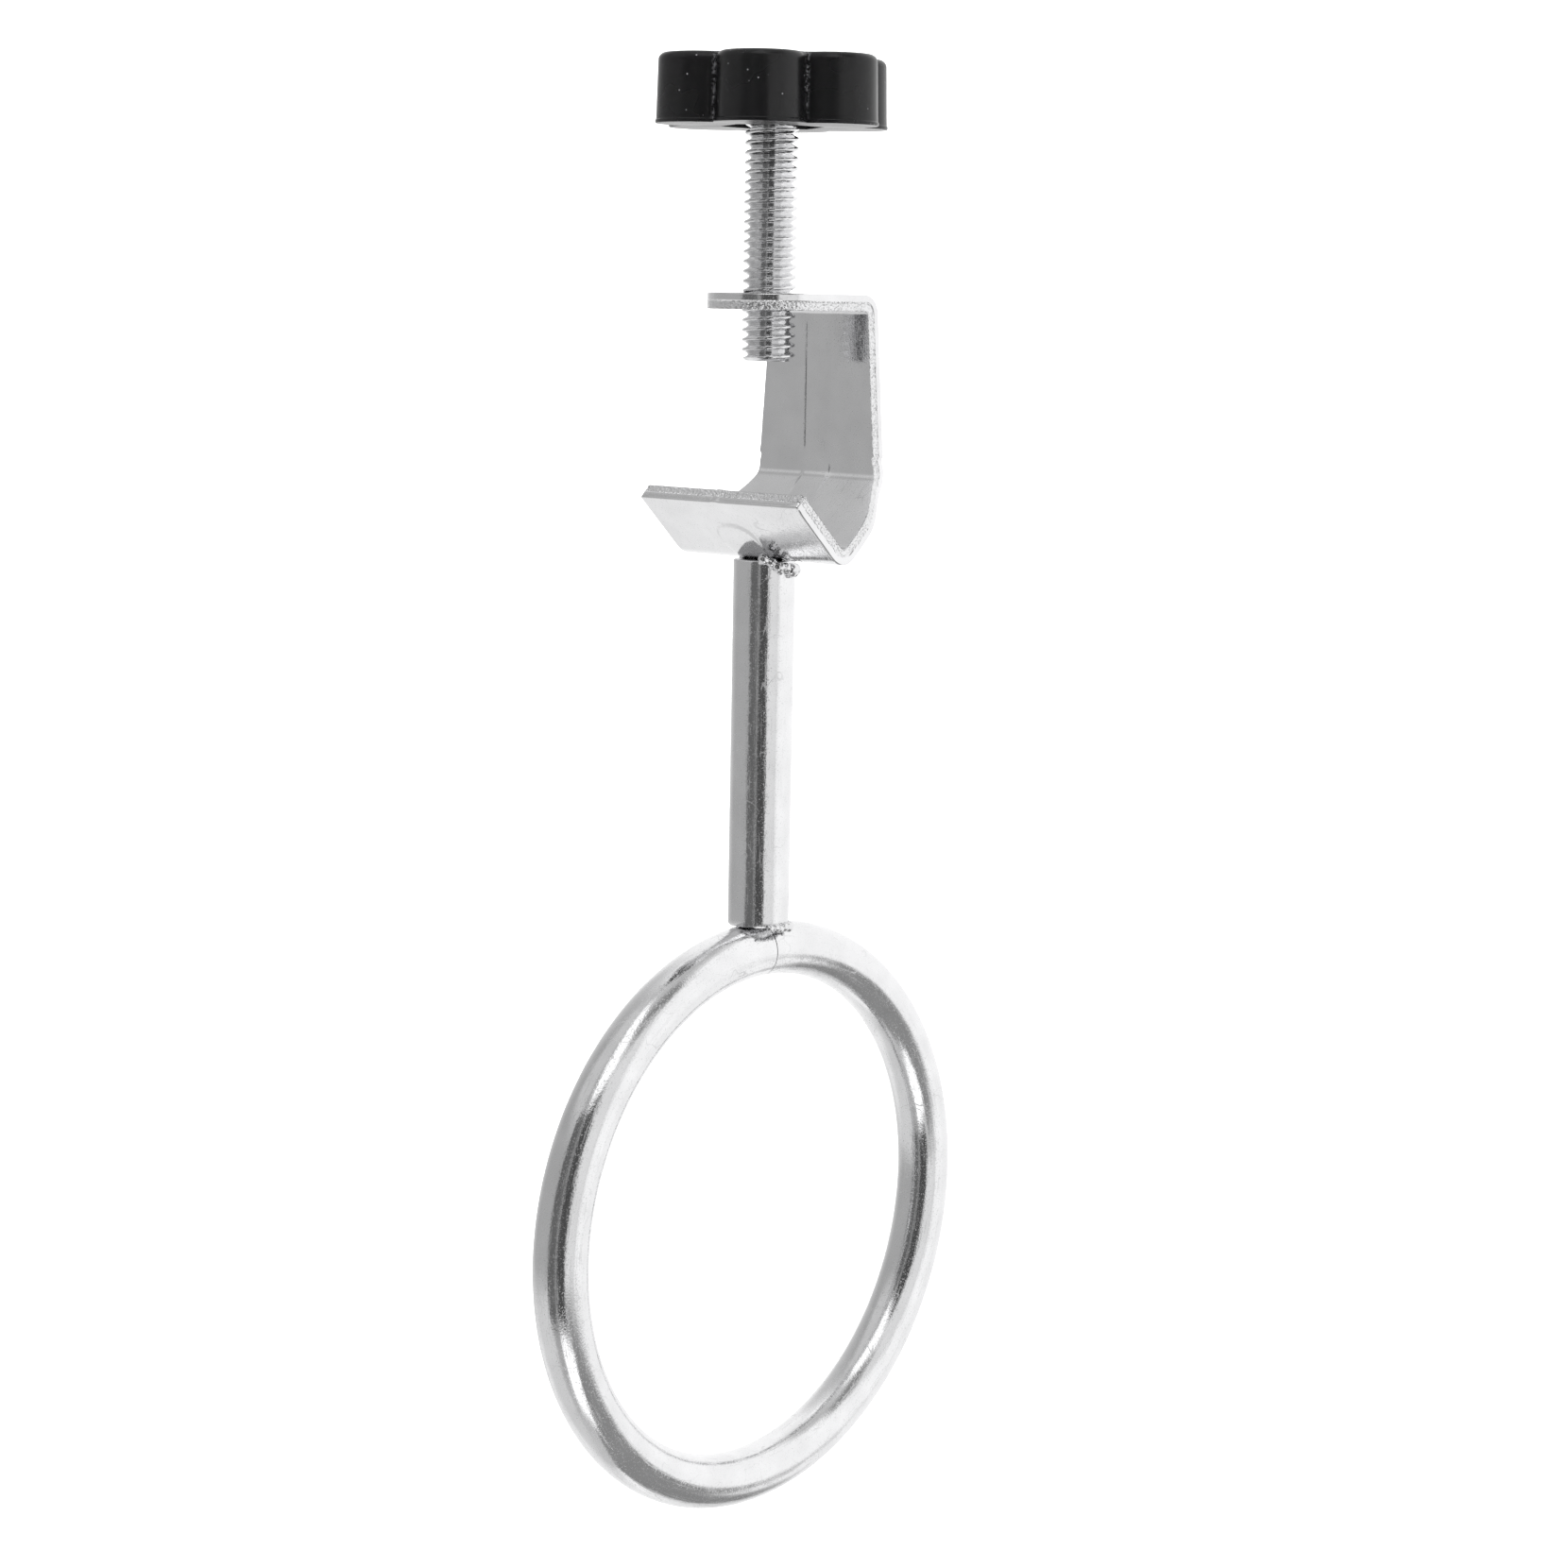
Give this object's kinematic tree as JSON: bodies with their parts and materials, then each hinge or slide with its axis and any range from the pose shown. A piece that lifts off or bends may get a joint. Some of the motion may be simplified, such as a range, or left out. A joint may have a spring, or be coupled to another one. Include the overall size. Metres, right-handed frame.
{
  "type": "retort ring with hook clamp",
  "caption": "Laboratory support ring on a straight rod, with a bent-sheet hook clamp, a threaded clamp bolt and a star knob.",
  "frame": {"origin": "axis of a 12.7 mm stand rod seated in the hook's V, midway across the hook", "axes": "+X along the stand rod that the hook grips and normal to the ring's plane, -Y towards the hook's open side, +Z along the clamp bolt from the ring to the knob"},
  "size_m": [0.0352, 0.09, 0.2172],
  "materials": {
    "zinc_sheet": "bright zinc plated, fine scratches",
    "zinc_rod": "bright zinc plated drawn rod",
    "zinc_weld": "zinc plated weld bead",
    "zinc_bolt": "zinc plated rolled thread",
    "bolt_steel": "plain steel",
    "black_plastic": "satin moulded thermoplastic"
  },
  "bodies": {
    "frame": {"hook_bracket": "zinc_sheet", "handle_rod": "zinc_rod", "support_ring": "zinc_rod", "hook_weld_near": "zinc_weld", "hook_weld_far": "zinc_weld", "ring_weld_near": "zinc_weld", "ring_weld_far": "zinc_weld"},
    "bolt_travel": {"clamp_bolt_core": "bolt_steel"},
    "bolt_and_knob": {"clamp_bolt": "zinc_bolt", "knob": "black_plastic"}
  },
  "joints": [
    {"name": "bolt_slide", "type": "slide", "parent": "frame", "child": "bolt_travel", "axis": [0, 0, 1], "range_m": [-0.02328, 0.00705]},
    {"name": "knob_turn", "type": "hinge", "parent": "bolt_travel", "child": "bolt_and_knob", "pos_m": [0, 0, 0], "axis": [0, 0, 1], "range_deg": [-5940, 1800]}
  ],
  "couplings": [
    {"joint": "knob_turn", "follows": "bolt_slide", "rad_per_m": 4452.6}
  ]
}
